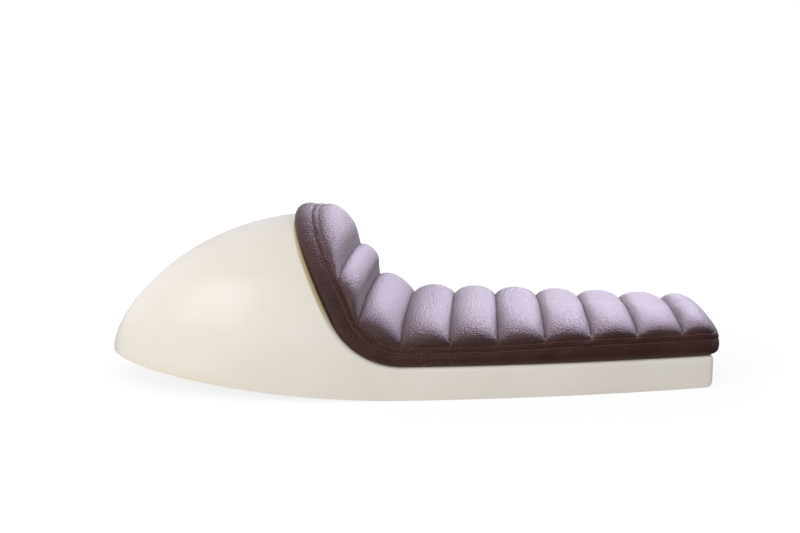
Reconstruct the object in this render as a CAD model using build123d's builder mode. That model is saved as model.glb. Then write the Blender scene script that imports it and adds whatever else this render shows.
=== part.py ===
"""Cafe racer seat cowl: glass-fibre tail shell with a tuck-and-roll leather pad.

Millimetres. X runs forward, Y to the left, Z up; the flat run of the rim stands on Z = 0.
"""
import os
from math import atan2, cos, pi, radians, sin, sqrt

from build123d import *

os.makedirs("parts", exist_ok=True)

# Shell: overall form
shell_len = 690          # tail tip to front of the deck
half_w = 119             # half width at the widest place
front_half_w = 72        # half width at the front end
wide_from_tail = 258     # the widest place, measured from the tail
plan_power = 1.8         # roundness of the tail seen from above
crest_h = 187.5          # top of the hump
crest_from_tail = 279    # where the crest levels out
crest_power = 2.4        # roundness of the crest in side view
crest_root = 1.4
fullness = 0.71          # shoulder of the arch sections, 0.55 gives an ellipse
nose_flat = 1.3          # how much of the pointed tail is blunted
tail_rim_h = 28          # height of the rim at the tail tip
rim_rise_from_tail = 328 # where the rim leaves the ground
rim_power = 1.36
wall = 4
trim = 6                 # moulded below the rim and cut away
seat_edge_r = 4          # rounded edge where the seat recess meets the outside
front_corner_r = 8       # front corners seen from above
skirt_corner_r = 9       # lower front corners seen from the side
front_lip = 16           # depth of the turned-down lip between the skirts

# Shell: seat recess in side view
deck_h = 35
bend_r = 85
bend_from_front = 341    # where the deck starts to curve up
lean = 65                # bulkhead angle above the deck, degrees

# Pad
overhang = 4             # pad beyond the front of the deck
pad_inset = 3            # pad inside the shell at the sides
pad_rise = 6.5           # pad above the crest of the hump
pad_corner_r = 12
pad_edge = 6             # bevelled lower edge of the band
band_h = 25
leather = 1.8
hem_w = 16               # leather turned under the board
board = 4
roll_count = 10
roll_pitch = 51          # along the seam
front_roll = 41
crown_back = 27.5        # roll height above the seam at the bend
crown_front = 20.5       # and at the front
groove_depth = 8.5
groove_tilt = 0.15       # lean of the grooves, as a share of the slope of the seat
roll_tilt = 0.4          # lean of the rolls
dome_crown = 23          # height of the last roll, under the arch
bend_swell = 5           # extra height of the roll in the bend
front_crown = 6          # height of the front end of the panel at its middle
roll_bevel = 11          # bevelled ends of the rolls
dome_square = 0.78       # shoulder of the last roll

# Fixings
stud_r = 3
tip_r = 2.5              # free end of the studs, for the frame's straps
stud_pitch_x = 200
stud_pitch_y = 80
stud_mid_from_front = 175
stud_below = 20          # length under the deck
stud_step = 0.5          # how far the full thickness passes the nut
head_w = 20              # square plate heads
head_t = 1.5
washer_w = 18
washer_t = 1.6
nut_af = 10
nut_h = 5
hole_play = 0.3
thread_play = 0.1

# Places worked out from the sizes above
tail_x = -(shell_len + overhang) / 2
front_x = tail_x + shell_len
pad_front = front_x + overhang
wide_x = tail_x + wide_from_tail
crest_x = tail_x + crest_from_tail
rise_x = tail_x + rim_rise_from_tail
bend_x = front_x - bend_from_front
pad_h = crest_h + pad_rise
board_top = leather + board
a_lean = radians(lean)
clear = 20
roll_room = bend_swell + 1
span_y = half_w + clear


def half_width(x, inset=0):
    """Half width of the shell in plan: a full curve round the tail, a gentle taper to the front."""
    if x >= wide_x:
        t = (x - wide_x) / (front_x - wide_x)
        return half_w - inset - (half_w - front_half_w) * t**2
    t = (wide_x - x) / (wide_x - (tail_x - nose_flat + inset))
    return (half_w - inset) * max(1 - t**plan_power, 0) ** (1 / plan_power)


def crest(x, inset=0):
    """Height of the hump along its middle, level ahead of crest_x."""
    t = max(crest_x - x, 0) / (crest_x - (tail_x - nose_flat + inset))
    return tail_rim_h + (crest_h - inset - tail_rim_h) * max(1 - t**crest_power, 0) ** (1 / crest_root)


def rim(x):
    """Height of the lower edge: flat under the deck, sweeping up to the tail."""
    return tail_rim_h * (max(rise_x - x, 0) / (rise_x - tail_x)) ** rim_power


def cross_plane(x):
    return Plane(origin=(x, 0, 0), x_dir=(0, 1, 0), z_dir=(1, 0, 0))


def arch(x, w, base, top):
    """Closed arch section across the cowl at x."""
    rise = fullness * (top - base)
    with BuildSketch(cross_plane(x)) as section:
        with BuildLine():
            Bezier((w, base), (w, base + rise), (fullness * w, top), (0, top))
            Bezier((0, top), (-fullness * w, top), (-w, base + rise), (-w, base))
            Line((-w, base), (w, base))
        make_face()
    return section.sketch


def shell_stations(inset, x_end, steps):
    """Section places from the tail to x_end, closer together round the tail."""
    start = tail_x + inset
    tail = [start + (wide_x - start) * (1 - cos(i * pi / 2 / steps)) for i in range(steps + 1)]
    return tail + [wide_x + (x_end - wide_x) * i / steps for i in range(1, steps + 1)]


def seat_line(n, x_front, z_top):
    """Deck, bend and bulkhead line at height n above the seat face, front end to top end."""
    r = bend_r - n
    z = deck_h + n
    end_x = bend_x - r * sin(a_lean)
    end_z = deck_h + bend_r - r * cos(a_lean)
    top_x = end_x - (z_top - end_z) / sin(a_lean) * cos(a_lean)
    with BuildLine() as line:
        Line((x_front, z), (bend_x, z))
        CenterArc((bend_x, deck_h + bend_r), r, -90, -lean)
        Line((end_x, end_z), (top_x, z_top))
    return line.line


def seat_region(n0, n1=None):
    """Side view region between two seat lines, or all that lies under and behind the line at n0."""
    x_front, z_top = pad_front + clear, pad_h + clear
    first = seat_line(n0, x_front, z_top)
    with BuildSketch(Plane.XZ) as region:
        with BuildLine():
            add(first)
            if n1 is None:
                Polyline(first @ 1, (tail_x - clear, z_top), (tail_x - clear, -clear),
                         (x_front, -clear), first @ 0)
            else:
                second = seat_line(n1, x_front, z_top)
                add(second)
                Line(first @ 0, second @ 0)
                Line(first @ 1, second @ 1)
        make_face()
    return region.sketch


def above_seat(p):
    """Height of a point above the seat face, square to it."""
    if p.X > bend_x:
        return p.Z - deck_h
    dx, dz = bend_x - p.X, deck_h + bend_r - p.Z
    turn = min(atan2(dx, dz), a_lean)
    return bend_r - dx * sin(turn) - dz * cos(turn)


def outer_edges(part, n):
    """Edges of the outline at height n above the seat, without the lines across the seat face."""
    return [e for e in part.edges() if abs(above_seat(e @ 0.5) - n) < 0.01
            and (e.geom_type != GeomType.LINE or e.center().X > front_x - hem_w)]


def pad_arch(x, inset=0):
    """Section of the pad outline: the shell section moved in at the sides and up at the crest."""
    return arch(x, half_width(x) - pad_inset - inset, -clear, pad_h - inset)


def pad_half_width(x, z):
    """Half width of the pad outline at a place in side view, read off its arch section."""
    low, high = 0.0, 1.0
    for _ in range(40):
        t = (low + high) / 2
        u = 1 - t
        reached = -clear + (pad_h + clear) * (3 * u * u * t * fullness + 3 * u * t * t + t**3)
        low, high = (t, high) if reached < z else (low, t)
    return (half_width(x) - pad_inset) * (u**3 + 3 * u * u * t + 3 * u * t * t * fullness)


def seam_place(s):
    """Side view place and slope on the seam, s back from the front end along the band top."""
    r = bend_r - band_h
    on_deck, on_bend = pad_front - bend_x, r * a_lean
    turn = min(max(s - on_deck, 0) / r, a_lean)
    past = max(s - on_deck - on_bend, 0)
    x = pad_front - min(s, on_deck) - r * sin(turn) - past * cos(turn)
    z = deck_h + bend_r - r * cos(turn) + past * sin(turn)
    return x, z, turn


def section_plane(s, tilt):
    """Plane across the seat at s, leaning back by a share of the slope there."""
    x, z, turn = seam_place(s)
    a = tilt * turn
    return Plane((x, 0, z), x_dir=(0, 1, 0), z_dir=(cos(a), 0, -sin(a)))


def above_seam(s, height, tilt):
    """Side view place at a height over the seam at s."""
    p = section_plane(s, tilt).from_local_coords((0, height, 0))
    return p.X, p.Z


def roll_end(s):
    """Upright section of the panel at a groove, from seam to seam, with bevelled upper corners."""
    x, z, _ = seam_place(s)
    b, top = pad_half_width(x, z), groove(s) + groove_depth + roll_room
    bevel = roll_bevel + roll_room
    with BuildSketch(section_plane(s, groove_tilt)) as section:
        with BuildLine():
            Polyline((-b, -clear), (b, -clear), (b, top - bevel), (b - bevel, top),
                     (bevel - b, top), (-b, top - bevel), close=True)
        make_face()
    return section.sketch


def dome_section(s, height, tilt):
    """Arched section of the last roll at s, rising from seam to seam."""
    x, z, _ = seam_place(s)
    b, k = pad_half_width(x, z), dome_square
    with BuildSketch(section_plane(s, tilt)) as section:
        with BuildLine():
            Bezier((b, 0), (b, k * height), (k * b, height), (0, height))
            Bezier((0, height), (-k * b, height), (-b, k * height), (-b, 0))
            Polyline((-b, 0), (-b, -6), (b, -6), (b, 0))
        make_face()
    return section.sketch


def crown(s):
    """Height of a roll above the seam, falling off towards the front and swollen in the bend."""
    swell = bend_swell if 0 < seam_place(s)[2] < a_lean else 0
    return crown_front + (crown_back - crown_front) * min(s / (pad_front - bend_x), 1) + swell


def groove(s):
    """Height of a groove above the seam."""
    return min(crown(s), crown_back) - groove_depth


# Outer skin of the shell as one long bullet, and the hollow one wall smaller
with BuildPart() as skin:
    loft([arch(x, half_width(x), rim(x) - trim, crest(x)) for x in shell_stations(0, front_x, 9)])
    fillet(skin.faces().sort_by(Axis.X)[-1].edges().sort_by(Axis.Z)[1:], front_corner_r)

with BuildPart() as cavity:
    loft([arch(x, half_width(x, wall), rim(x) - 2 * trim, crest(x, wall))
          for x in shell_stations(wall, front_x - wall, 8)], ruled=True)
    fillet(cavity.faces().sort_by(Axis.X)[-1].edges().sort_by(Axis.Z)[1:], front_corner_r - wall)
    extrude(seat_region(-wall), amount=span_y, both=True, mode=Mode.INTERSECT)

stud_x = front_x - stud_mid_from_front

with BuildPart() as cowl_shell:
    add(skin.part)
    extrude(seat_region(0), amount=span_y, both=True, mode=Mode.INTERSECT)
    fillet(outer_edges(cowl_shell, 0), seat_edge_r)
    # lower edge, swept up at the tail
    with BuildSketch(Plane.XZ):
        with BuildLine():
            places = [tail_x - clear + (rise_x - tail_x + clear) * i / 5 for i in range(6)]
            Spline(*[(x, rim(x)) for x in places])
            Polyline((rise_x, 0), (front_x + clear, 0), (front_x + clear, pad_h + clear),
                     (tail_x - clear, pad_h + clear), (tail_x - clear, rim(tail_x - clear)))
        make_face()
    extrude(amount=span_y, both=True, mode=Mode.INTERSECT)
    add(cavity.part, mode=Mode.SUBTRACT)
    # a lip instead of a full front wall
    with BuildSketch(Plane.YZ.offset(front_x - wall - 1)):
        with Locations((0, (deck_h - front_lip - clear) / 2)):
            Rectangle(2 * (front_half_w - wall), deck_h - front_lip + clear)
    extrude(amount=wall + 2, mode=Mode.SUBTRACT)
    # rounded lower corners of the skirts
    with BuildSketch(Plane.XZ):
        with Locations((front_x, 0)):
            Rectangle(2 * skirt_corner_r, 2 * skirt_corner_r)
        with Locations((front_x - skirt_corner_r, skirt_corner_r)):
            Circle(skirt_corner_r + 0.2, mode=Mode.SUBTRACT)
    extrude(amount=span_y, both=True, mode=Mode.SUBTRACT)
    with Locations((stud_x, 0, deck_h)):
        with GridLocations(stud_pitch_x, stud_pitch_y, 2, 2):
            Hole(stud_r + hole_play, depth=2 * wall)

# Pad without its top: the leather outline, what it encloses, the board and the opening in the hem
pad_back = (seat_line(0, pad_front, pad_h) @ 1).X - clear
pad_places = [pad_back + (pad_front - pad_back) * i / 6 for i in range(7)]

with BuildPart() as pad_block:
    loft([pad_arch(x) for x in pad_places])
    fillet(pad_block.faces().sort_by(Axis.X)[-1].edges().sort_by(Axis.Z)[1:], pad_corner_r)
    extrude(seat_region(0, band_h), amount=span_y, both=True, mode=Mode.INTERSECT)
    chamfer(outer_edges(pad_block, 0), pad_edge)

with BuildPart() as pad_fill:
    loft([pad_arch(x - leather, leather) for x in pad_places])
    fillet(pad_fill.faces().sort_by(Axis.X)[-1].edges().sort_by(Axis.Z)[1:], pad_corner_r - leather)
    extrude(seat_region(leather, band_h), amount=span_y, both=True, mode=Mode.INTERSECT)
    chamfer(outer_edges(pad_fill, leather), pad_edge - leather)

with BuildPart() as hem_opening:
    loft([pad_arch(x - hem_w, hem_w) for x in pad_places])
    extrude(seat_region(-1, leather + 1), amount=span_y, both=True, mode=Mode.INTERSECT)

with BuildPart() as side_band:
    add(pad_block.part)
    add(pad_fill.part, mode=Mode.SUBTRACT)
    add(hem_opening.part, mode=Mode.SUBTRACT)

with BuildPart() as base_board:
    add(pad_fill.part)
    extrude(seat_region(leather, board_top), amount=span_y, both=True, mode=Mode.INTERSECT)
    with Locations((stud_x, 0, deck_h + leather + board / 2)):
        with GridLocations(stud_pitch_x, stud_pitch_y, 2, 2):
            Cylinder(stud_r + thread_play, 2 * board, mode=Mode.SUBTRACT)

with BuildPart() as foam_core:
    add(pad_fill.part)
    extrude(seat_region(board_top, band_h), amount=span_y, both=True, mode=Mode.INTERSECT)
    with Locations((stud_x, 0, deck_h + board_top)):
        with GridLocations(stud_pitch_x, stud_pitch_y, 2, 2):
            Box(head_w, head_w, 2 * head_t, mode=Mode.SUBTRACT)

# Quilted top: each roll swells between two grooves, the last one closes under the arch
grooves = [0] + [front_roll + roll_pitch * i for i in range(roll_count - 1)]
last = grooves[-1]
x_top, z_top, turn_top = seam_place(last)
closing = (pad_h - z_top) / sin(turn_top)

with BuildPart() as pleated_panel:
    for s0, s1 in zip(grooves, grooves[1:]):
        mid = (s0 + s1) / 2
        first = above_seam(s0, groove(s0) if s0 else front_crown, groove_tilt)
        second = above_seam(s1, groove(s1), groove_tilt)
        with BuildPart(mode=Mode.PRIVATE) as roll:
            with BuildSketch(Plane.XZ):
                with BuildLine():
                    ThreePointArc(first, above_seam(mid, crown(mid), roll_tilt), second)
                    Polyline(second, above_seam(s1, -6, groove_tilt), above_seam(s0, -6, groove_tilt), first)
                make_face()
            extrude(amount=span_y, both=True)
            loft([roll_end(s0), roll_end(s1)], ruled=True, mode=Mode.INTERSECT)
        add(roll.part)
    dome = [dome_section(last, groove(last), groove_tilt)]
    for f in (0.3, 0.6, 0.82, 0.94, 0.985):
        fall = sqrt(1 - (max(f - 0.3, 0) / 0.7) ** 2)
        tilt = groove_tilt + (1 - groove_tilt) * min(f / 0.6, 1)
        dome.append(dome_section(last + f * closing, dome_crown * fall, tilt))
    loft(dome)
    extrude(seat_region(-clear, band_h), amount=span_y, both=True, mode=Mode.SUBTRACT)

# Fixings: plate-headed studs in the board, square washers and nuts under the deck
below_nut = wall + washer_t + nut_h + stud_step

with BuildPart() as pad_studs:
    with Locations((stud_x, 0, deck_h + board_top)):
        with GridLocations(stud_pitch_x, stud_pitch_y, 2, 2):
            Box(head_w, head_w, head_t, align=(Align.CENTER, Align.CENTER, Align.MIN))
            Cylinder(stud_r, board_top + below_nut, align=(Align.CENTER, Align.CENTER, Align.MAX))
            Cylinder(tip_r, board_top + wall + stud_below, align=(Align.CENTER, Align.CENTER, Align.MAX))

with BuildPart() as pad_washers:
    with Locations((stud_x, 0, deck_h - wall)):
        with GridLocations(stud_pitch_x, stud_pitch_y, 2, 2):
            Box(washer_w, washer_w, washer_t, align=(Align.CENTER, Align.CENTER, Align.MAX))
            Cylinder(stud_r + hole_play, 3 * washer_t, mode=Mode.SUBTRACT)

with BuildPart() as pad_nuts:
    with BuildSketch(Plane.XY.offset(deck_h - wall - washer_t)):
        with Locations((stud_x, 0)):
            with GridLocations(stud_pitch_x, stud_pitch_y, 2, 2):
                RegularPolygon(nut_af / 2, 6, major_radius=False)
                Circle(stud_r + thread_play, mode=Mode.SUBTRACT)
    extrude(amount=-nut_h)

cowl_shell.part.label = "cowl_shell"
base_board.part.label = "base_board"
foam_core.part.label = "foam_core"
side_band.part.label = "side_band"
pleated_panel.part.label = "pleated_panel"
pad_studs.part.label = "pad_studs"
pad_washers.part.label = "pad_washers"
pad_nuts.part.label = "pad_nuts"

export_step(cowl_shell.part, "parts/cowl_shell.step")
export_step(base_board.part, "parts/base_board.step")
export_step(foam_core.part, "parts/foam_core.step")
export_step(side_band.part, "parts/side_band.step")
export_step(pleated_panel.part, "parts/pleated_panel.step")
export_step(pad_studs.part, "parts/pad_studs.step")
export_step(pad_washers.part, "parts/pad_washers.step")
export_step(pad_nuts.part, "parts/pad_nuts.step")
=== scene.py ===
from math import pi, radians, sqrt
import bpy
import numpy as np
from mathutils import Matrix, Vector


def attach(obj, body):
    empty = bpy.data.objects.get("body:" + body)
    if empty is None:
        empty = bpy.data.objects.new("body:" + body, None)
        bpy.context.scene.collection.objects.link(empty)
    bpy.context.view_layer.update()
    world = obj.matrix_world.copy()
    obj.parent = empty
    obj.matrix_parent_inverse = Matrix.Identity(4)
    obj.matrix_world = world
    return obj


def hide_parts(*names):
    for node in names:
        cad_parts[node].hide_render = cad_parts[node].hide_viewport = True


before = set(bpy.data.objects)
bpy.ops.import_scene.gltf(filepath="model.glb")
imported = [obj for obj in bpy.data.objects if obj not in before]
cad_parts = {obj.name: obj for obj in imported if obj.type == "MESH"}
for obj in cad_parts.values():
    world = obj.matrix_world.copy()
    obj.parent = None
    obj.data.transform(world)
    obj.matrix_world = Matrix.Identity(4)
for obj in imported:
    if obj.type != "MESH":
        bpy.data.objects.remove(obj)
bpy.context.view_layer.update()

bpy.ops.object.select_all(action="DESELECT")


# ---------------------------------------------------------------------------------------------
# Shell: tail hump and seat pan laid up in one mould, glass mat under a pale glossy gel coat.
# The outside takes the mould's polish; the inside is left as raw laminate, rough with fibre,
# and resin has yellowed a little along the trimmed lower edge.
# ---------------------------------------------------------------------------------------------
def new_material(name):
    material = bpy.data.materials.new(name)
    material.use_nodes = True
    tree = material.node_tree
    return material, tree, tree.nodes["Principled BSDF"]


def add_node(tree, kind, **values):
    node = tree.nodes.new(kind)
    for key, value in values.items():
        if hasattr(node, key):
            setattr(node, key, value)
        else:
            node.inputs[key].default_value = value
    return node


def feed(tree, socket, value):
    """Link an output to a socket, or set a plain value on it."""
    if isinstance(value, bpy.types.NodeSocket):
        tree.links.new(value, socket)
    else:
        socket.default_value = value


def calc(tree, operation, *values):
    node = add_node(tree, "ShaderNodeMath", operation=operation)
    for socket, value in zip(node.inputs, values):
        feed(tree, socket, value)
    return node.outputs["Value"]


def mix(tree, kind, factor, first, second):
    node = add_node(tree, "ShaderNodeMix", data_type=kind)
    for key, value in (("Factor", factor), ("A", first), ("B", second)):
        feed(tree, node.inputs[key], value)
    return node.outputs["Result"]


def map_range(tree, source, old, new, kind="SMOOTHSTEP"):
    """A value taken from one span to another and held at the ends."""
    node = add_node(tree, "ShaderNodeMapRange", interpolation_type=kind)
    for key, value in zip(("From Min", "From Max", "To Min", "To Max"), (*old, *new)):
        node.inputs[key].default_value = value
    tree.links.new(source, node.inputs["Value"])
    return node.outputs["Result"]


def two_tones(tree, source, low_at, low, high_at, high):
    """Colour ramp from one tone to another."""
    node = add_node(tree, "ShaderNodeValToRGB")
    first, last = node.color_ramp.elements
    first.position, first.color = low_at, low
    last.position, last.color = high_at, high
    tree.links.new(source, node.inputs["Fac"])
    return node.outputs["Color"]


def bump(tree, surface, height, strength, distance):
    node = add_node(tree, "ShaderNodeBump", Strength=strength, Distance=distance)
    tree.links.new(height, node.inputs["Height"])
    tree.links.new(node.outputs["Normal"], surface.inputs["Normal"])


def mottle_group():
    """Soft cloudy mask and a slow height, on object coordinates."""
    group = bpy.data.node_groups.new("mottle", "ShaderNodeTree")
    for name in ("Cloud Scale", "Ripple Scale"):
        group.interface.new_socket(name, in_out="INPUT", socket_type="NodeSocketFloat")
    for name in ("Cloud", "Ripple"):
        group.interface.new_socket(name, in_out="OUTPUT", socket_type="NodeSocketFloat")
    start, end = add_node(group, "NodeGroupInput"), add_node(group, "NodeGroupOutput")
    place = add_node(group, "ShaderNodeTexCoord")
    cloud = add_node(group, "ShaderNodeTexNoise", Detail=4.0, Roughness=0.55)
    ripple = add_node(group, "ShaderNodeTexNoise", Detail=1.0, Roughness=0.4)
    for node, name in ((cloud, "Cloud"), (ripple, "Ripple")):
        group.links.new(place.outputs["Object"], node.inputs["Vector"])
        group.links.new(start.outputs[name + " Scale"], node.inputs["Scale"])
        group.links.new(node.outputs["Fac"], end.inputs[name])
    return group


mottle = mottle_group()


def use_mottle(tree, cloud, ripple=1.0):
    node = add_node(tree, "ShaderNodeGroup", node_tree=mottle)
    node.inputs["Cloud Scale"].default_value = cloud
    node.inputs["Ripple Scale"].default_value = ripple
    return node


gelcoat, tree, surface = new_material("gelcoat")
surface.inputs["Coat Roughness"].default_value = 0.26
surface.inputs["Specular IOR Level"].default_value = 0.15
surface.inputs["IOR"].default_value = 1.5
spots = use_mottle(tree, 9.0, 7.0)
tone = two_tones(tree, spots.outputs["Cloud"], 0.35, (0.775, 0.725, 0.655, 1), 0.65, (0.815, 0.770, 0.705, 1))
place = add_node(tree, "ShaderNodeTexCoord")
split = add_node(tree, "ShaderNodeSeparateXYZ")
tree.links.new(place.outputs["Object"], split.inputs["Vector"])
# yellowed resin, low on the side below the hump
low = map_range(tree, split.outputs["Z"], (0.034, 0.010), (0.0, 1.0))
aft = map_range(tree, split.outputs["X"], (-0.15, -0.22), (0.0, 0.55))
yellowed = mix(tree, "RGBA", calc(tree, "MULTIPLY", low, aft), tone, (0.74, 0.665, 0.47, 1))
# painted tan along the lip that the pad leans on, higher up: a painted reflection of the brown pad in the
# shell's rounded edge
lip = add_node(tree, "ShaderNodeVectorMath", operation="DOT_PRODUCT")
lip.inputs[1].default_value = (0.9063, 0.0, 0.4226)
tree.links.new(place.outputs["Object"], lip.inputs[0])
near_lip = map_range(tree, lip.outputs["Value"], (-0.0372, -0.0348), (0.0, 0.8))
high = map_range(tree, split.outputs["Z"], (0.065, 0.105), (0.0, 1.0))
lip_painted_reflection = mix(tree, "RGBA", calc(tree, "MULTIPLY", near_lip, high), yellowed, (0.46, 0.36, 0.15, 1))
# raw laminate on the faces that look into the hollow
from_inside = add_node(tree, "ShaderNodeVectorMath", operation="SUBTRACT")
from_inside.inputs[1].default_value = (-0.12, 0.0, 0.01)
facing = add_node(tree, "ShaderNodeVectorMath", operation="DOT_PRODUCT")
tree.links.new(place.outputs["Object"], from_inside.inputs[0])
tree.links.new(from_inside.outputs["Vector"], facing.inputs[0])
tree.links.new(place.outputs["Normal"], facing.inputs[1])
inside = calc(tree, "LESS_THAN", facing.outputs["Value"], 0.0)
stretch = add_node(tree, "ShaderNodeMapping")
stretch.inputs["Scale"].default_value = (0.35, 1.6, 1.0)
stretch.inputs["Rotation"].default_value = (0.4, 0.3, 0.7)
strands = add_node(tree, "ShaderNodeTexVoronoi", feature="DISTANCE_TO_EDGE", Scale=85.0, Randomness=1.0)
tree.links.new(place.outputs["Object"], stretch.inputs["Vector"])
tree.links.new(stretch.outputs["Vector"], strands.inputs["Vector"])
fibres = strands.outputs["Distance"]
laminate = two_tones(tree, fibres, 0.0, (0.66, 0.61, 0.44, 1), 0.25, (0.50, 0.46, 0.31, 1))
tree.links.new(mix(tree, "RGBA", inside, lip_painted_reflection, laminate), surface.inputs["Base Color"])
polish = calc(tree, "SUBTRACT", 0.3, inside)
polish.node.use_clamp = True
tree.links.new(polish, surface.inputs["Coat Weight"])
tree.links.new(calc(tree, "MULTIPLY_ADD", inside, 0.33, 0.32), surface.inputs["Roughness"])
bump(tree, surface, mix(tree, "FLOAT", inside, spots.outputs["Ripple"], fibres), 0.25, 0.0025)


def dress(node, material):
    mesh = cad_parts[node].data
    mesh.materials.clear()
    mesh.materials.append(material)


dress("cowl_shell", gelcoat)


# ---------------------------------------------------------------------------------------------
# Board and fixings: a matt board stiffens the underside of the pad. Plate-headed studs pass
# through it and the deck, and zinc-plated square washers and hexagon nuts hold them below.
# ---------------------------------------------------------------------------------------------
board, tree, surface = new_material("board")
spots = use_mottle(tree, 60.0)
tone = two_tones(tree, spots.outputs["Cloud"], 0.3, (0.024, 0.024, 0.026, 1), 0.7, (0.040, 0.039, 0.040, 1))
tree.links.new(tone, surface.inputs["Base Color"])
surface.inputs["Roughness"].default_value = 0.7
bump(tree, surface, spots.outputs["Cloud"], 0.3, 0.0004)
dress("base_board", board)

zinc, tree, surface = new_material("zinc_plate")
surface.inputs["Metallic"].default_value = 1.0
spots = use_mottle(tree, 180.0)
tone = two_tones(tree, spots.outputs["Cloud"], 0.3, (0.50, 0.50, 0.52, 1), 0.7, (0.66, 0.66, 0.65, 1))
tree.links.new(tone, surface.inputs["Base Color"])
dull = map_range(tree, spots.outputs["Cloud"], (0.0, 1.0), (0.25, 0.5), "LINEAR")
tree.links.new(dull, surface.inputs["Roughness"])
for fixing in ("pad_studs", "pad_washers", "pad_nuts"):
    dress(fixing, zinc)


# ---------------------------------------------------------------------------------------------
# Foam core: cut from open-cell foam to the outline of the pad and glued on the board.
# The leather hides it all round.
# ---------------------------------------------------------------------------------------------
foam, tree, surface = new_material("foam")
place = add_node(tree, "ShaderNodeTexCoord")
cells = add_node(tree, "ShaderNodeTexVoronoi", Scale=420.0)
tree.links.new(place.outputs["Object"], cells.inputs["Vector"])
tone = two_tones(tree, cells.outputs["Distance"], 0.0, (0.66, 0.58, 0.38, 1), 1.0, (0.50, 0.43, 0.26, 1))
tree.links.new(tone, surface.inputs["Base Color"])
surface.inputs["Roughness"].default_value = 0.95
dress("foam_core", foam)


# ---------------------------------------------------------------------------------------------
# Roll panel: brown leather over ten foam rolls, quilted with nine lines of stitching across the
# seat. It runs from the front end over the deck and the bend to a domed last roll at the crest.
# It is sewn to the side band all round.
# ---------------------------------------------------------------------------------------------
# side view of the seat in metres: a straight deck, a bend, then a back that leans
front_x, deck_x, arch_top = 0.347, 0.002, 0.194
deck_run = 0.345
bend_r, bend_z, seam_bend_r = 0.085, 0.120, 0.060
lean = radians(65)
seam_level, corner_r = 0.025, 0.012
# plan of the shell, widest at wide_x, and the arch that the pad narrows under
wide_x, wide_half, pad_inset, tail_power = -0.089, 0.119, 0.003, 1.8
front_taper, front_reach, tail_reach = 0.047, 0.432, 0.2593
arch_foot, arch_rise, arch_bulge = -0.020, 0.214, 0.71
curve = np.linspace(0, 1, 2001)
first, second, third = (1 - curve) ** 3, 3 * (1 - curve) ** 2 * curve, 3 * (1 - curve) * curve**2
arch_z = arch_foot + arch_rise * (second * arch_bulge + third + curve**3)
arch_w = first + second + third * arch_bulge


def pad_half_width(x, z):
    """Half width of the pad at a place in side view: the shell's plan taken in, under its arch."""
    ahead = wide_half - front_taper * ((x - wide_x) / front_reach) ** 2
    back = np.clip((wide_x - x) / tail_reach, 0, 1)
    behind = wide_half * np.clip(1 - back**tail_power, 0, 1) ** (1 / tail_power)
    return (np.where(x >= wide_x, ahead, behind) - pad_inset) * np.interp(z, arch_z, arch_w)


def seat_place(s, level):
    """Side view place and slope, s back from the front end along the seam, at a level over the seat."""
    r = bend_r - level
    turn = np.clip((s - deck_run) / seam_bend_r, 0, lean)
    past = np.maximum(s - deck_run - seam_bend_r * lean, 0)
    x = front_x - np.minimum(s, deck_run) - r * np.sin(turn) - past * np.cos(turn)
    z = bend_z - r * np.cos(turn) + past * np.sin(turn)
    return x, z, turn


first_roll, roll_pitch = 0.041, 0.051
grooves = [0.0] + [first_roll + roll_pitch * i for i in range(9)]
dome_s = grooves[-1]
dome_len, dome_height, dome_top = 0.0737, 0.020, 0.42
front_roll, roll_gain, deck_roll = 0.0205, 0.007, 0.0275
bend_swell, swell_from, swell_over = 0.005, 0.335, 0.085
front_groove, dome_groove, groove_depth = 0.006, 0.0135, 0.0085
groove_square, roll_square, side_swell = 1.85, 1.35, 0.0022
pucker, pucker_s, pucker_long, pucker_h, pucker_tall = 0.0009, 0.412, 0.030, 0.007, 0.006
gather_s, gather_long, gather_tall = 0.385, 0.040, 0.008
drop_depth, drop_from, drop_over, drop_end, drop_back = 0.0042, 0.13, 0.14, 0.425, 0.07
columns, rows_per_roll, dome_rows = 76, 18, 26


def seam_drop(s):
    """How far the seam hangs under its straight run, along the back of the deck."""
    t = np.clip((s - drop_from) / drop_over, 0, 1)
    return drop_depth * t * t * (3 - 2 * t) * np.clip((drop_end - s) / drop_back, 0, 1)


def roll_height(s):
    """Crown of the rolls above the seam, lower to the front and swollen in the bend."""
    swell = bend_swell * np.clip(np.sin(np.clip((s - swell_from) / swell_over, 0, 1) * pi), 0, 1)
    return front_roll + roll_gain * min(s / deck_run, 1) + swell


def groove_height(s):
    """Height of a sewn line above the seam: low at the front end and deep under the last roll."""
    if s in (0, dome_s):
        return front_groove if s == 0 else dome_groove
    return min(roll_height(s), deck_roll) - groove_depth


def near(value, place, width):
    return np.exp(-((value - place) / width) ** 2)


def across(half, height, square, swell, upright=0.0):
    """Points from seam to seam over one section, evenly spaced: side steps and heights."""
    a = np.linspace(0, pi, 1201)
    y = half * np.sign(np.cos(a)) * np.abs(np.cos(a)) ** (2 / square)
    h = upright + height * np.abs(np.sin(a)) ** (2 / square)
    y, h = np.concatenate([[half], y, [-half]]), np.concatenate([[0], h, [0]])
    low = np.clip(h / max(height + upright, 1e-6), 0, 1)
    y = y + np.sign(y) * swell * np.sin(pi * np.sqrt(low))
    run = np.concatenate([[0], np.cumsum(np.hypot(np.diff(y), np.diff(h)))])
    at = np.linspace(0, run[-1], columns + 1)
    return np.interp(at, run, y), np.interp(at, run, h)


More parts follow.
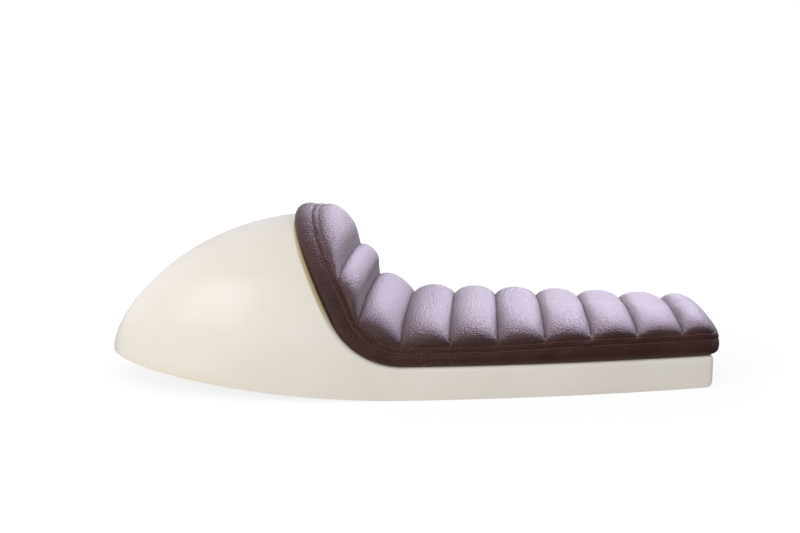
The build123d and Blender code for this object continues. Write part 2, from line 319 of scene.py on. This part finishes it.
grid, groove_rows, runs, heights = [], [], [], []
for s0, s1 in zip(grooves, grooves[1:]):
    groove_rows.append(len(grid))
    steps = rows_per_roll * (2 if s1 > deck_run else 1)
    for k in range(steps):
        f = k / steps
        u = 0.55 * f + 0.45 * (0.5 - 0.5 * np.cos(pi * f))
        s = s0 + (s1 - s0) * u
        drop = seam_drop(s)
        x, z, turn = seat_place(s, seam_level - drop)
        half = pad_half_width(x, z)
        if s < corner_r:
            half += -corner_r + sqrt(corner_r**2 - (corner_r - s) ** 2)
        base = groove_height(s0) * (1 - u) + groove_height(s1) * u
        puff = (1 - abs(2 * u - 1) ** 2.3) ** 0.72
        crown = roll_height((s0 + s1) / 2) - (groove_height(s0) + groove_height(s1)) / 2
        height = base + crown * puff
        round_ = np.sin(pi * u) ** 0.7 if 0 < u < 1 else 0.0
        y, h = across(half, height, groove_square + roll_square * round_, side_swell * round_, drop)
        a = turn * (0.15 + 0.25 * np.sin(pi * u))
        gathered = pucker * near(s, pucker_s, pucker_long) * near(h, pucker_h, pucker_tall)
        y = y + np.sign(y) * gathered * (1 if k % 2 else -1)
        grid.append(np.stack([x + h * np.sin(a), y, z + h * np.cos(a)], 1))
        runs.append(np.full(columns + 1, s))
        heights.append(h)
groove_rows.append(len(grid))
# the last roll closes under the arch of the hump: a square patch pressed into a half disc
half = pad_half_width(*seat_place(dome_s, seam_level)[:2])
y, h = across(half, groove_height(dome_s), groove_square, 0.0)
side = np.clip(y / half, -1, 1)
side[0], side[-1] = 1.0, -1.0
for k in range(dome_rows + 1):
    g = 1 - (1 - k / dome_rows) ** 1.6
    p, q = g * np.sqrt(1 - side**2 / 2), side * np.sqrt(1 - g * g / 2)
    v = np.clip(q / np.sqrt(np.maximum(1 - p * p, 1e-9)), -1, 1)
    x, z, turn = seat_place(dome_s + p * dome_len, seam_level)
    z = np.minimum(z, arch_top - 1e-6)
    rise = np.clip(p / dome_top, 0, 1)
    fall = np.clip((p - dome_top) / (1 - dome_top), 0, 1)
    start = groove_height(dome_s)
    ridge = np.where(p < dome_top, start + (dome_height - start) * (1 - (1 - rise) ** 2.2) ** 0.75,
                     dome_height * (1 - fall**2.5) ** (1 / 2.5))
    square = 1.7 + 0.45 * np.sin(np.clip(p, 0, 1) * pi) ** 0.7
    h = ridge * np.clip(1 - np.abs(v) ** square, 0, 1) ** (1 / square)
    if k == dome_rows:
        h = h * 0
    a = turn * (0.25 + 0.75 * np.clip(p / 0.6, 0, 1))
    grid.append(np.stack([x + h * np.sin(a), v * pad_half_width(x, z), z + h * np.cos(a)], 1))
    runs.append(dome_s + p * dome_len)
    heights.append(h)
grid, runs, heights = np.array(grid), np.array(runs), np.array(heights)
count = len(grid)


def grid_faces(rows, cols):
    return [(r * cols + c, r * cols + c + 1, (r + 1) * cols + c + 1, (r + 1) * cols + c)
            for r in range(rows - 1) for c in range(cols - 1)]


def mesh_piece(name, points, faces, material):
    mesh = bpy.data.meshes.new(name)
    mesh.from_pydata([tuple(p) for p in points], [], faces)
    mesh.materials.append(material)
    piece = bpy.data.objects.new(name, mesh)
    bpy.context.collection.objects.link(piece)
    bpy.ops.object.select_all(action="DESELECT")
    piece.select_set(True)
    bpy.context.view_layer.objects.active = piece
    return piece


def set_values(piece, **fields):
    """Named numbers on the points, for the material to read."""
    for name, values in fields.items():
        field = piece.data.attributes.new(name, "FLOAT", "POINT")
        field.data.foreach_set("value", values.ravel().astype(np.float32))


def refine_once(piece):
    bpy.ops.object.mode_set(mode="EDIT")
    bpy.ops.mesh.select_all(action="SELECT")
    bpy.ops.mesh.normals_make_consistent(inside=False)
    bpy.ops.object.mode_set(mode="OBJECT")
    refine = piece.modifiers.new("refine", "SUBSURF")
    refine.levels = refine.render_levels = 1
    bpy.ops.object.modifier_apply(modifier="refine")
    bpy.ops.object.shade_smooth()


def grain_group():
    """Leather grain: a height for bump and slow colour clouds."""
    group = bpy.data.node_groups.new("leather_grain", "ShaderNodeTree")
    group.interface.new_socket("Scale", in_out="INPUT", socket_type="NodeSocketFloat")
    for name in ("Height", "Cloud"):
        group.interface.new_socket(name, in_out="OUTPUT", socket_type="NodeSocketFloat")
    start, end = add_node(group, "NodeGroupInput"), add_node(group, "NodeGroupOutput")
    place = add_node(group, "ShaderNodeTexCoord")
    pebbles = add_node(group, "ShaderNodeTexVoronoi", feature="SMOOTH_F1", Smoothness=0.4)
    fine = add_node(group, "ShaderNodeTexNoise", Detail=5.0, Roughness=0.65, Scale=900.0)
    cloud = add_node(group, "ShaderNodeTexNoise", Detail=3.0, Roughness=0.6, Scale=22.0)
    total = add_node(group, "ShaderNodeMath", operation="MULTIPLY_ADD")
    total.inputs[1].default_value = 0.7
    for node in (pebbles, fine, cloud):
        group.links.new(place.outputs["Object"], node.inputs["Vector"])
    group.links.new(start.outputs["Scale"], pebbles.inputs["Scale"])
    group.links.new(fine.outputs["Fac"], total.inputs[0])
    group.links.new(pebbles.outputs["Distance"], total.inputs[2])
    group.links.new(total.outputs["Value"], end.inputs["Height"])
    group.links.new(cloud.outputs["Fac"], end.inputs["Cloud"])
    return group


grain = grain_group()


def leather_material(name, dark, light, sheen, gloss):
    material, tree, surface = new_material(name)
    hide = add_node(tree, "ShaderNodeGroup", node_tree=grain)
    hide.inputs["Scale"].default_value = 620.0
    tone = two_tones(tree, hide.outputs["Cloud"], 0.32, dark, 0.68, light)
    tree.links.new(tone, surface.inputs["Base Color"])
    dull = map_range(tree, hide.outputs["Height"], (0.35, 0.95), (0.24, 0.56), "LINEAR")
    tree.links.new(dull, surface.inputs["Roughness"])
    # gathers that the stitches pull up, square to the seam
    run = add_node(tree, "ShaderNodeAttribute", attribute_name="run")
    pulled = add_node(tree, "ShaderNodeAttribute", attribute_name="gather")
    stray = calc(tree, "MULTIPLY", hide.outputs["Cloud"], 26.0)
    folds = calc(tree, "SINE", calc(tree, "MULTIPLY_ADD", run.outputs["Fac"], 2050.0, stray))
    gathers = calc(tree, "MULTIPLY", folds, pulled.outputs["Fac"])
    bump(tree, surface, calc(tree, "ADD", hide.outputs["Height"], gathers), 0.9, 0.0008)
    surface.inputs["IOR"].default_value = gloss
    surface.inputs["Specular Tint"].default_value = (0.96, 0.93, 1.0, 1)
    surface.inputs["Sheen Weight"].default_value = sheen
    surface.inputs["Sheen Roughness"].default_value = 0.22
    surface.inputs["Sheen Tint"].default_value = (0.92, 0.86, 1.0, 1)
    return material


roll_leather = leather_material("roll_leather", (0.056, 0.0112, 0.0045, 1), (0.084, 0.0210, 0.0100, 1),
                                sheen=0.75, gloss=2.1)
settle_frames, most_swell, fill_end, fill_fade = 20, 0.0012, 0.27, 0.09
# air pressure fills the leather out between the sewn lines, which are held where they are
sheet = mesh_piece("leather_sheet", grid.reshape(-1, 3), grid_faces(count, columns + 1), roll_leather)
sewn = sheet.vertex_groups.new(name="sewn")
held = np.zeros((count, columns + 1))
held[[0, -1], :], held[:, [0, -1]] = 1.0, 1.0
held[groove_rows[1:], :] = 1.0
for index in np.flatnonzero(held.ravel()):
    sewn.add([int(index)], 1.0, "REPLACE")
cloth = sheet.modifiers.new("filling", "CLOTH")
rules = cloth.settings
rules.quality, rules.mass, rules.air_damping = 6, 0.25, 4.0
rules.tension_stiffness = rules.compression_stiffness = 12.0
rules.shear_stiffness, rules.bending_stiffness = 4.0, 0.4
rules.vertex_group_mass, rules.pin_stiffness = "sewn", 1.0
rules.use_pressure, rules.uniform_pressure_force = True, 1.2
rules.shrink_min = -0.002
rules.effector_weights.gravity = 0.0
cloth.collision_settings.use_collision = False
cloth.point_cache.frame_start, cloth.point_cache.frame_end = 1, settle_frames
for step in range(1, settle_frames + 1):
    bpy.context.scene.frame_set(step)
bpy.ops.object.modifier_apply(modifier="filling")
bpy.context.scene.frame_set(1)
swollen = np.empty(count * (columns + 1) * 3)
sheet.data.vertices.foreach_get("co", swollen)
move = swollen.reshape(grid.shape) - grid
far = np.linalg.norm(move, axis=2, keepdims=True)
# round the bend the leather lies tight, so the filling fades out there
slack = np.clip((fill_end - runs) / fill_fade, 0, 1)[..., None]
grid = grid + slack * move * np.minimum(1, most_swell / np.maximum(far, 1e-9))
bpy.data.objects.remove(sheet)
# underside closed from seam to seam, then refined once
ring = [(r, 0) for r in range(count)] + [(count - 1, c) for c in range(1, columns // 2 + 1)]
front = [(0, c) for c in range(columns // 2, 0, -1)]
near_side = [r * (columns + 1) + c for r, c in front + ring]
far_side = [r * (columns + 1) + columns - c for r, c in front + ring]
faces = grid_faces(count, columns + 1)
for a, b, c, d in zip(near_side, near_side[1:], far_side[1:], far_side):
    faces.append(tuple(dict.fromkeys((a, d, c, b))))
panel = mesh_piece("roll_panel", grid.reshape(-1, 3), faces, roll_leather)
sewn_edges = {frozenset(pair) for side in (near_side, far_side) for pair in zip(side, side[1:])}
crease = panel.data.attributes.new("crease_edge", "FLOAT", "EDGE")
for edge in panel.data.edges:
    if frozenset(edge.vertices) in sewn_edges:
        crease.data[edge.index].value = 1.0
        edge.use_edge_sharp = True
    elif edge.vertices[0] // (columns + 1) == edge.vertices[1] // (columns + 1) in groove_rows[1:]:
        crease.data[edge.index].value = 0.85
bend = near(runs, gather_s, gather_long)
gather = near(heights, 0.0, gather_tall) * (0.10 + 0.5 * bend) * (runs < dome_s + 0.02)
set_values(panel, run=runs, gather=gather)
refine_once(panel)
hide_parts("pleated_panel")
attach(panel, "root")


# ---------------------------------------------------------------------------------------------
# Side band: a strip of the same leather round the foam, turned under the board as a hem.
# Its top edge is sewn to the roll panel and topstitched a few millimetres below, so it stands
# as a small ridge there and bulges over the deck's edge lower down.
# ---------------------------------------------------------------------------------------------
front_steps, corner_steps = 23, 7


def outline(share):
    """Half of the pad outline at a share of the seam's level, front middle to crest."""
    s = np.concatenate([np.linspace(corner_r, deck_run, 112)[:-1],
                        np.linspace(deck_run, deck_run + seam_bend_r * lean, 26)[:-1]])
    x, z, turn = seat_place(s, share * (seam_level - seam_drop(s)))
    half = pad_half_width(x, z)
    start = half[0]
    a = np.linspace(0, pi / 2, corner_steps + 1)[:-1]
    across_y = np.linspace(0, start - corner_r, front_steps + 1)[:-1]
    front = np.stack([np.full(front_steps, front_x), across_y, np.full(front_steps, z[0])], 1)
    corner = np.stack([front_x - corner_r * (1 - np.cos(a)), start - corner_r + corner_r * np.sin(a),
                       np.full(corner_steps, z[0])], 1)
    sides = np.stack([x, half, z], 1)
    r = bend_r - share * seam_level
    tall = (arch_top - (bend_z - r * np.cos(lean))) / np.sin(lean)
    up = np.sin(np.linspace(0, pi / 2, 56))
    bx = deck_x - r * np.sin(lean) - tall * up * np.cos(lean)
    bz = np.minimum(bend_z - r * np.cos(lean) + tall * up * np.sin(lean), arch_top)
    back = np.stack([bx, pad_half_width(bx, bz), bz], 1)
    back[-1, 1] = 0.0
    return np.concatenate([front, corner, sides, back])


def both_sides(half):
    """Whole closed outline from one half: middle of the front, left side, crest, right side."""
    right = half[1:-1][::-1] * (1, -1, 1)
    return np.concatenate([half, right])


# level over the seat as a share of the seam level, and step outwards in millimetres
band_profile = [(1.08, -5.5), (1.085, -2.6), (1.03, -0.3), (1.0, 0.35), (0.96, 1.0), (0.89, 1.5),
                (0.81, 1.5), (0.765, 1.15), (0.735, 0.65), (0.705, 1.1), (0.64, 1.8), (0.54, 2.4),
                (0.42, 2.7), (0.30, 2.5), (0.19, 1.7), (0.10, 0.2), (0.045, -2.0), (0.012, -5.5),
                (0.006, -12.0), (0.05, -15.0), (0.075, -10.0), (0.12, -4.6), (0.3, -2.6),
                (0.6, -3.0), (0.9, -5.0)]
middle_line = both_sides(outline(0.5))
arch_line = both_sides(outline(0.88)) - both_sides(outline(0.08))
ahead = np.roll(middle_line, -1, axis=0) - np.roll(middle_line, 1, axis=0)
outward = np.cross(ahead, arch_line)
outward /= np.linalg.norm(outward, axis=1, keepdims=True)
stations = len(middle_line)
# the front end's seam arches up with the first roll
y_front = np.abs(middle_line[:, 1]) / outline(1.0)[front_steps, 1]
arched = front_groove * np.clip(1 - y_front**2.25, 0, 1) ** (1 / 2.25)
lift = np.where(middle_line[:, 0] > front_x - 1e-6, arched, 0.0)
path = np.concatenate([[0], np.cumsum(np.linalg.norm(np.diff(middle_line, axis=0), axis=1))])
pull = np.random.default_rng(7).normal(size=(stations, 3))
for _ in range(2):
    pull = (pull + np.roll(pull, 1, axis=0) + np.roll(pull, -1, axis=0)) / 2.2


def band_point(share, out):
    """Ring of places round the pad at a share of the seam's level, stepped outwards."""
    low = both_sides(outline(share))
    up = arch_line / np.linalg.norm(arch_line, axis=1, keepdims=True)
    return low + up * (lift * max(share, 0))[:, None] + outward * (np.asarray(out) * 0.001).reshape(-1, 1)


front_bulge = 1.6 * (middle_line[:, 0] > front_x - 0.002)
band_rings = []
for share, out in band_profile:
    wave = np.zeros(stations)
    if out > -1:
        wave = 0.35 * pull[:, 0] * near(share, 0.78, 0.16) + 0.30 * pull[:, 1] * near(share, 0.4, 0.2)
        wave += front_bulge * np.sin(pi * min(share, 1.0)) ** 0.5
    band_rings.append(band_point(share, out + wave))
band_rings = np.array(band_rings)
rings, n = band_rings.shape[:2]
faces = [(r * n + c, r * n + (c + 1) % n, ((r + 1) % rings) * n + (c + 1) % n, ((r + 1) % rings) * n + c)
         for r in range(rings) for c in range(n)]
# the band's copy of the leather has a darker base colour than the roll panel's: painted shade on the side
# band
band_leather = leather_material("band_leather", (0.046, 0.0090, 0.0032, 1), (0.066, 0.0150, 0.0064, 1),
                                sheen=0.15, gloss=1.65)
band = mesh_piece("leather_band", band_rings.reshape(-1, 3), faces, band_leather)
tight = np.array([0.30 * near(share, 0.86, 0.10) + 0.18 * near(share, 0.66, 0.06) if out > -1 else 0.0
                  for share, out in band_profile])
set_values(band, run=np.tile(path, rings), gather=np.repeat(tight, n))
refine_once(band)
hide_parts("side_band")
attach(band, "root")


# ---------------------------------------------------------------------------------------------
# Stitching: bonded thread. A reddish row draws band and panel together at the seam, a second one is
# topstitched through the band below it, and a dark row lies in each groove. One stitch is modelled
# and then laid along every row; its ends dip into the leather.
# ---------------------------------------------------------------------------------------------
bpy.ops.object.select_all(action="DESELECT")
bpy.ops.mesh.primitive_cylinder_add(vertices=6, radius=0.00042, depth=0.0013, rotation=(0, pi / 2, 0))
stitch = bpy.context.active_object
bpy.ops.object.transform_apply(location=True, rotation=True, scale=True)
bpy.ops.object.mode_set(mode="EDIT")
bpy.ops.mesh.select_mode(type="FACE")
bpy.ops.mesh.select_all(action="DESELECT")
bpy.ops.mesh.select_face_by_sides(number=6, type="EQUAL")
bpy.ops.mesh.inset(thickness=0.00020, depth=0.00045, use_individual=True)
bpy.ops.transform.translate(value=(0, 0, -0.00028))
bpy.ops.mesh.select_all(action="SELECT")
bpy.ops.transform.resize(value=(1, 1, 0.85))
bpy.ops.object.mode_set(mode="OBJECT")
stitch_points = np.array([v.co[:] for v in stitch.data.vertices])
stitch_faces = [tuple(f.vertices) for f in stitch.data.polygons]
bpy.data.objects.remove(stitch)


def lay_stitches(line, above, pitch, width=1.0):
    """Copies of the stitch along a line, the round side towards above."""
    run = np.concatenate([[0], np.cumsum(np.linalg.norm(np.diff(line, axis=0), axis=1))])
    at = (np.arange(int(run[-1] / pitch)) + 0.5) * pitch
    places = ((at, line), (at - 0.001, line), (at + 0.001, line), (at, above))
    centre, before, after, up = (np.stack([np.interp(t, run, values[:, i]) for i in range(3)], 1)
                                 for t, values in places)
    along = after - before
    along /= np.linalg.norm(along, axis=1, keepdims=True)
    aside = np.cross(up, along)
    aside /= np.linalg.norm(aside, axis=1, keepdims=True)
    up = np.cross(along, aside)
    turned = np.stack([along, aside, up], 1)
    return np.einsum("pk,skj->spj", stitch_points * (1, width, width), turned) + centre[:, None, :]


def thread_material(name, dark, light):
    material, tree, surface = new_material(name)
    spots = use_mottle(tree, 140.0)
    tone = two_tones(tree, spots.outputs["Cloud"], 0.35, dark, 0.65, light)
    tree.links.new(tone, surface.inputs["Base Color"])
    place = add_node(tree, "ShaderNodeTexCoord")
    twist = add_node(tree, "ShaderNodeTexWave", Scale=900.0, Distortion=1.5)
    tree.links.new(place.outputs["Object"], twist.inputs["Vector"])
    bump(tree, surface, twist.outputs["Fac"], 0.5, 0.0002)
    surface.inputs["Roughness"].default_value = 0.55
    surface.inputs["Sheen Weight"].default_value = 0.2
    return material


def sew(name, rows, material):
    copies = np.concatenate(rows)
    points = len(stitch_points)
    faces = [tuple(i * points + v for v in face) for i in range(len(copies)) for face in stitch_faces]
    piece = mesh_piece(name, copies.reshape(-1, 3), faces, material)
    bpy.ops.object.shade_smooth_by_angle(angle=radians(50))
    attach(piece, "root")


# groove_width draws the groove stitches wider than the real thread, so they also stand as painted shade in
# the grooves
band_pitch, groove_pitch, groove_width, groove_lift = 0.0034, 0.0029, 1.9, 0.0006
close = [*range(stations), 0]
topstitch = lay_stitches(band_point(0.738, 1.05)[close], outward[close], band_pitch)
seam_row = lay_stitches(band_point(1.0, 0.75)[close], outward[close], band_pitch)
red_brown = thread_material("red_brown_thread", (0.17, 0.066, 0.046, 1), (0.25, 0.115, 0.086, 1))
sew("topstitch_thread", [topstitch, seam_row], red_brown)
groove_lines = []
for row in groove_rows[1:]:
    line = grid[row, 2:-2]
    slope = grid[row + 1, 2:-2] - grid[row - 1, 2:-2]
    over = np.cross(slope, np.gradient(line, axis=0))
    over *= np.sign(over[:, 2:3].sum())
    over /= np.linalg.norm(over, axis=1, keepdims=True)
    groove_lines.append(lay_stitches(line + over * groove_lift, over, groove_pitch, groove_width))
# the groove thread is real stitching, made dark and wide enough to stand also as painted shade in the groove
groove_thread_and_shade = thread_material("dark_thread", (0.030, 0.0085, 0.007, 1), (0.046, 0.0140, 0.011, 1))
sew("groove_thread", groove_lines, groove_thread_and_shade)


# ---------------------------------------------------------------------------------------------
# Light table and lights: a white floor and white surroundings. Two cool lights, overhead and high at
# the back, show only as reflections, and a third fills from the front left.
# ---------------------------------------------------------------------------------------------
table, tree, surface = new_material("white_table")
rays = add_node(tree, "ShaderNodeLightPath")
paper = mix(tree, "RGBA", rays.outputs["Is Camera Ray"], (0.78, 0.78, 0.78, 1), (0.20, 0.20, 0.20, 1))
paper = mix(tree, "RGBA", rays.outputs["Is Glossy Ray"], paper, (0.045, 0.045, 0.045, 1))
tree.links.new(paper, surface.inputs["Base Color"])
surface.inputs["Roughness"].default_value = 1.0
surface.inputs["Specular IOR Level"].default_value = 0.0
surface.inputs["Emission Color"].default_value = (1, 1, 1, 1)
place = add_node(tree, "ShaderNodeTexCoord")
reach = add_node(tree, "ShaderNodeVectorMath", operation="LENGTH")
tree.links.new(place.outputs["Object"], reach.inputs[0])
fade = map_range(tree, reach.outputs["Value"], (0.35, 1.1), (0.84, 1.0))
# the eye sees white paper all round; mirrored rays see it behind the seat only
split = add_node(tree, "ShaderNodeSeparateXYZ")
tree.links.new(place.outputs["Object"], split.inputs["Vector"])
behind = map_range(tree, split.outputs["Y"], (0.5, 1.4), (0.0, 1.0))
mirrored = calc(tree, "MAXIMUM", rays.outputs["Is Glossy Ray"], rays.outputs["Is Transmission Ray"])
backdrop = calc(tree, "MULTIPLY", mirrored, behind)
seen = calc(tree, "MAXIMUM", rays.outputs["Is Camera Ray"], backdrop)
tree.links.new(calc(tree, "MULTIPLY", seen, fade), surface.inputs["Emission Strength"])
bpy.ops.object.select_all(action="DESELECT")
bpy.ops.mesh.primitive_plane_add(size=14, location=(0, 2.0, -0.0005))
bpy.ops.object.transform_apply(location=True, rotation=True, scale=True)
floor = bpy.context.active_object
floor.name = "white_table"
floor.data.materials.append(table)

world = bpy.data.worlds.new("studio")
bpy.context.scene.world = world
world.use_nodes = True
tree = world.node_tree
sky = tree.nodes["Background"]
rays = add_node(tree, "ShaderNodeLightPath")
ahead = add_node(tree, "ShaderNodeTexCoord")
split = add_node(tree, "ShaderNodeSeparateXYZ")
tree.links.new(ahead.outputs["Generated"], split.inputs["Vector"])
behind = map_range(tree, split.outputs["Y"], (-0.08, 0.25), (0.02, 1.0))
mirrored = calc(tree, "MAXIMUM", rays.outputs["Is Glossy Ray"], rays.outputs["Is Transmission Ray"])
tint = mix(tree, "RGBA", mirrored, (1, 1, 1, 1), (0.91, 0.87, 1.0, 1))
tree.links.new(tint, sky.inputs["Color"])
lit = mix(tree, "FLOAT", mirrored, 0.73, behind)
level = mix(tree, "FLOAT", rays.outputs["Is Camera Ray"], lit, 1.0)
tree.links.new(level, sky.inputs["Strength"])


def soft_light(name, place, aim, wide, tall, power, colour, fills=True):
    lamp = bpy.data.lights.new(name, "AREA")
    lamp.shape, lamp.size, lamp.size_y = "RECTANGLE", wide, tall
    lamp.energy, lamp.color = power, colour
    holder = bpy.data.objects.new(name, lamp)
    bpy.context.collection.objects.link(holder)
    holder.location = place
    holder.visible_camera, holder.visible_diffuse = False, fills
    holder.rotation_euler = (Vector(aim) - Vector(place)).to_track_quat("-Z", "Y").to_euler()


cool, plain = (0.84, 0.79, 1.0), (1.0, 0.99, 0.99)
soft_light("overhead", (0.62, 0.37, 1.30), (0.48, 0.0, 0.08), 1.4, 0.75, 28.0, cool, fills=False)
soft_light("high_back", (0.50, 1.25, 0.72), (0.40, 0.0, 0.08), 1.3, 0.9, 19.5, cool, fills=False)
soft_light("front_left", (-1.75, -1.45, 0.75), (-0.1, 0.0, 0.08), 1.2, 1.2, 20.5, plain)

eye = bpy.data.cameras.new("photo_view")
eye.lens, eye.sensor_width, eye.shift_x, eye.shift_y = 40.35, 36.0, -0.1019, 0.0
viewpoint = bpy.data.objects.new("photo_view", eye)
bpy.context.collection.objects.link(viewpoint)
viewpoint.location = (0.08487, -1.02533, 0.32787)
viewpoint.rotation_euler = (radians(78.676), 0, 0)
bpy.context.scene.camera = viewpoint
bpy.context.scene.view_settings.view_transform = "Standard"
